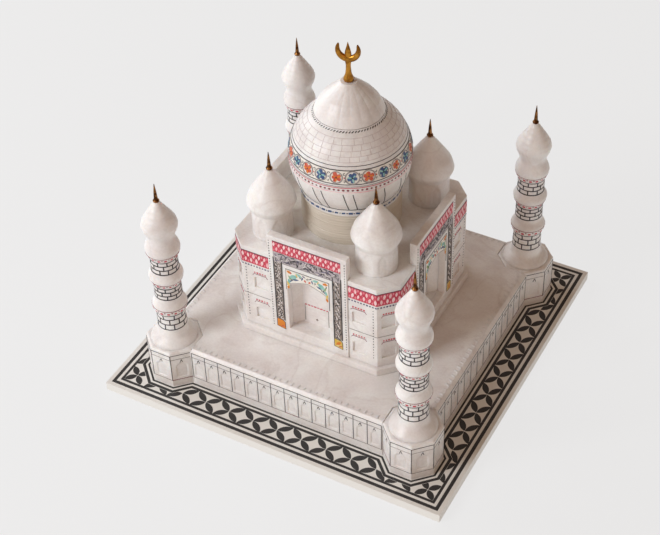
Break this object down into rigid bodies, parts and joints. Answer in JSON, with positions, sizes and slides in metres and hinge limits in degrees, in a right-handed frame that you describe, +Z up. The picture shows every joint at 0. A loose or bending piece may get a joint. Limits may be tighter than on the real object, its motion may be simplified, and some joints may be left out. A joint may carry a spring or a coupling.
{
  "type": "miniature landmark model",
  "caption": "Miniature domed mausoleum in white alabaster on a square plinth with corner minarets that lift off, standing on a marble slab with a black inlaid border.",
  "frame": {"origin": "centre of the underside of the square slab", "axes": "+Z up; -Y is the front; +X to the right seen from the front"},
  "size_m": [0.152, 0.152, 0.1478],
  "materials": {
    "white_marble": "polished white marble, faintly veined",
    "black_stone": "polished black inlay stone",
    "alabaster": "hand polished translucent alabaster, painted line work",
    "cream_alabaster": "lathe-turned translucent alabaster with fine tool lines",
    "brass": "aged drawn brass"
  },
  "bodies": {
    "model": {"base_slab": "white_marble", "border_outer_line": "black_stone", "border_inner_line": "black_stone", "border_petals": "black_stone", "trace_line": "black_stone", "foot_line": "black_stone", "plinth_deck": "alabaster", "house_step": "alabaster", "house_block": "alabaster", "drum": "cream_alabaster", "dome": "alabaster", "crescent_finial": "brass", "plinth_wall_front": "alabaster", "portal_front": "alabaster", "plinth_wall_right": "alabaster", "portal_right": "alabaster", "plinth_wall_back": "alabaster", "portal_back": "alabaster", "plinth_wall_left": "alabaster", "portal_left": "alabaster", "turret_front_left": "alabaster", "kiosk_front_left": "alabaster", "kiosk_pin_front_left": "brass", "turret_front_right": "alabaster", "kiosk_front_right": "alabaster", "kiosk_pin_front_right": "brass", "turret_back_right": "alabaster", "kiosk_back_right": "alabaster", "kiosk_pin_back_right": "brass", "turret_back_left": "alabaster", "kiosk_back_left": "alabaster", "kiosk_pin_back_left": "brass"},
    "minaret_front_left": {"minaret_front_left": "alabaster", "minaret_pin_front_left": "brass"},
    "minaret_front_right": {"minaret_front_right": "alabaster", "minaret_pin_front_right": "brass"},
    "minaret_back_right": {"minaret_back_right": "alabaster", "minaret_pin_back_right": "brass"},
    "minaret_back_left": {"minaret_back_left": "alabaster", "minaret_pin_back_left": "brass"}
  },
  "joints": [
    {"name": "minaret_front_left_lift", "type": "slide", "parent": "model", "child": "minaret_front_left", "axis": [0, 0, 1], "range_m": [0, 0.012]},
    {"name": "minaret_front_right_lift", "type": "slide", "parent": "model", "child": "minaret_front_right", "axis": [0, 0, 1], "range_m": [0, 0.012]},
    {"name": "minaret_back_right_lift", "type": "slide", "parent": "model", "child": "minaret_back_right", "axis": [0, 0, 1], "range_m": [0, 0.012]},
    {"name": "minaret_back_left_lift", "type": "slide", "parent": "model", "child": "minaret_back_left", "axis": [0, 0, 1], "range_m": [0, 0.012]}
  ]
}
